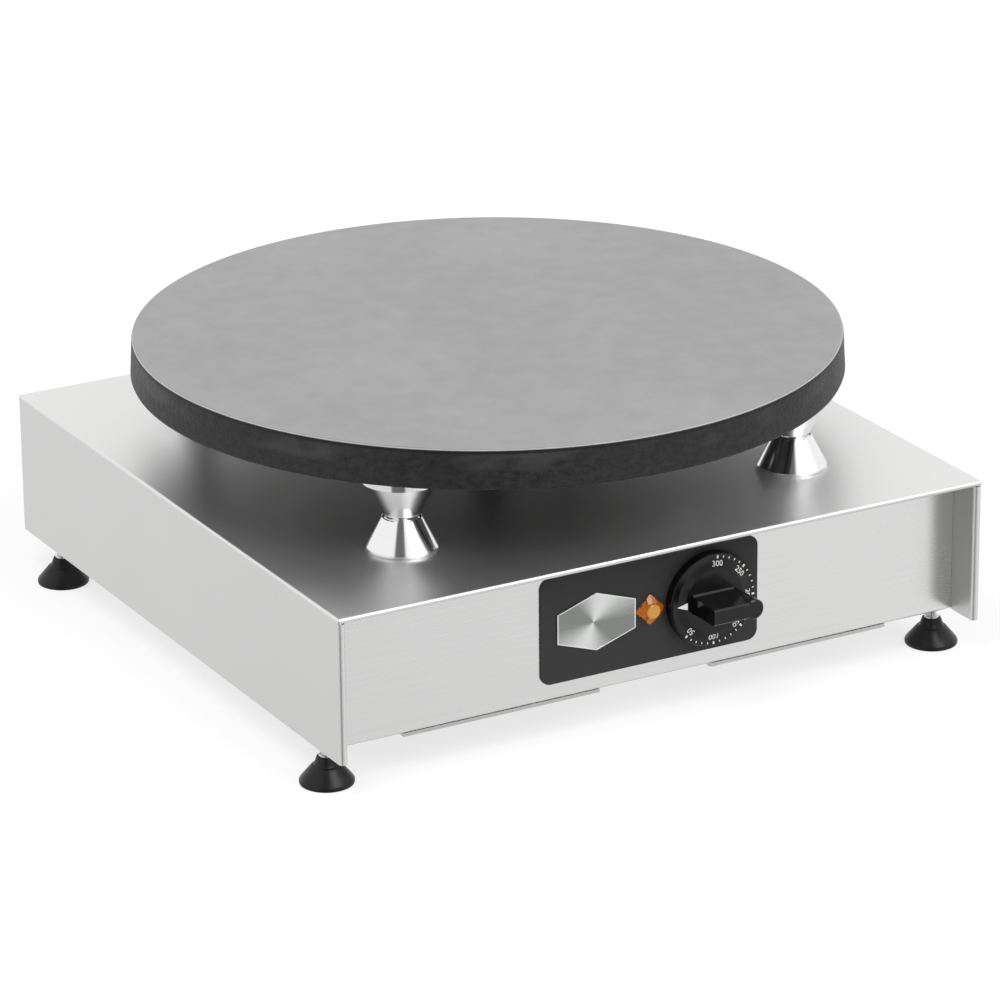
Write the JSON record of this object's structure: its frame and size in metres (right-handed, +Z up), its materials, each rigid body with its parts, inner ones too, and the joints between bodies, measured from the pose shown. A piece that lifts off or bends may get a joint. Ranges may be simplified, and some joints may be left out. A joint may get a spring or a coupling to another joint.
{
  "type": "electric crepe maker",
  "caption": "Round cast baking plate on turned spacers over a low folded stainless housing with a recessed control panel and levelling feet.",
  "frame": {"origin": "on the table, under the centre of the bounding box", "axes": "+Z up, the control panel faces -Y, +X to the right seen from the front"},
  "size_m": [0.415, 0.412, 0.1735],
  "materials": {
    "stainless_cover": "fine brushed grain from side to side",
    "stainless_panel": "fine brushed grain, horizontal",
    "stainless_base": "fine brushed grain",
    "zinc_steel": "zinc plated, slightly dull",
    "cast_plate": "turned matt baking face, rough cast rim",
    "turned_metal": "turned and polished",
    "heater_steel": "dull heat-stained sheet",
    "aluminised_pan": "plain rolled sheet",
    "mineral_wool": "pressed fibre",
    "capillary_copper": "drawn tube",
    "lead_sleeve": "woven glass sleeve",
    "wire_black": "smooth sleeve",
    "ceramic_white": "glazed off-white",
    "fascia_black": "satin film",
    "badge_metal": "brushed, bare",
    "lens_amber": "translucent amber",
    "lamp_black": "moulded",
    "knob_black": "fine moulded grain",
    "foot_black": "moulded, slight sheen",
    "gland_black": "moulded"
  },
  "bodies": {
    "appliance": {"body_cover": "stainless_cover", "front_panel": "stainless_panel", "rear_panel": "stainless_panel", "base_plate": "stainless_base", "base_screws": "zinc_steel", "foot_nuts": "zinc_steel", "fascia_plate": "fascia_black", "badge_plate": "badge_metal", "pilot_lamp_lens": "lens_amber", "pilot_lamp_body": "lamp_black", "pilot_lamp_nut": "lamp_black", "thermostat_body": "ceramic_white", "thermostat_screws": "zinc_steel", "capillary_tube": "capillary_copper", "sensor_bulb": "capillary_copper", "bulb_clip": "zinc_steel", "baking_plate": "cast_plate", "heating_element": "heater_steel", "press_plate": "heater_steel", "insulation_disc": "mineral_wool", "heater_pan": "aluminised_pan", "pan_studs": "zinc_steel", "pan_nuts": "zinc_steel", "wiring_conduit": "zinc_steel", "conduit_nuts": "zinc_steel", "spacer_bolts": "zinc_steel", "spacer_washers": "zinc_steel", "cable_gland": "gland_black", "gland_locknut": "gland_black", "terminal_block": "ceramic_white", "earth_screw": "zinc_steel", "overheat_cutout": "ceramic_white", "heater_leads": "lead_sleeve", "mains_wires": "wire_black", "spacer_base_front_left": "turned_metal", "spacer_cone_front_left": "turned_metal", "spacer_base_front_right": "turned_metal", "spacer_cone_front_right": "turned_metal", "spacer_base_rear_left": "turned_metal", "spacer_cone_rear_left": "turned_metal", "spacer_base_rear_right": "turned_metal", "spacer_cone_rear_right": "turned_metal"},
    "dial": {"thermostat_knob": "knob_black", "thermostat_shaft": "zinc_steel"},
    "foot_front_left": {"foot_pad_front_left": "foot_black", "foot_stud_front_left": "zinc_steel"},
    "foot_front_right": {"foot_pad_front_right": "foot_black", "foot_stud_front_right": "zinc_steel"},
    "foot_rear_left": {"foot_pad_rear_left": "foot_black", "foot_stud_rear_left": "zinc_steel"},
    "foot_rear_right": {"foot_pad_rear_right": "foot_black", "foot_stud_rear_right": "zinc_steel"}
  },
  "joints": [
    {"name": "dial_turn", "type": "hinge", "parent": "appliance", "child": "dial", "pos_m": [0.036, -0.175, 0.0647], "axis": [0, 1, 0], "range_deg": [0, 265]},
    {"name": "level_front_left", "type": "slide", "parent": "appliance", "child": "foot_front_left", "axis": [0, 0, -1], "range_m": [-0.007, 0.01]},
    {"name": "level_front_right", "type": "slide", "parent": "appliance", "child": "foot_front_right", "axis": [0, 0, -1], "range_m": [-0.007, 0.01]},
    {"name": "level_rear_left", "type": "slide", "parent": "appliance", "child": "foot_rear_left", "axis": [0, 0, -1], "range_m": [-0.007, 0.01]},
    {"name": "level_rear_right", "type": "slide", "parent": "appliance", "child": "foot_rear_right", "axis": [0, 0, -1], "range_m": [-0.007, 0.01]}
  ]
}
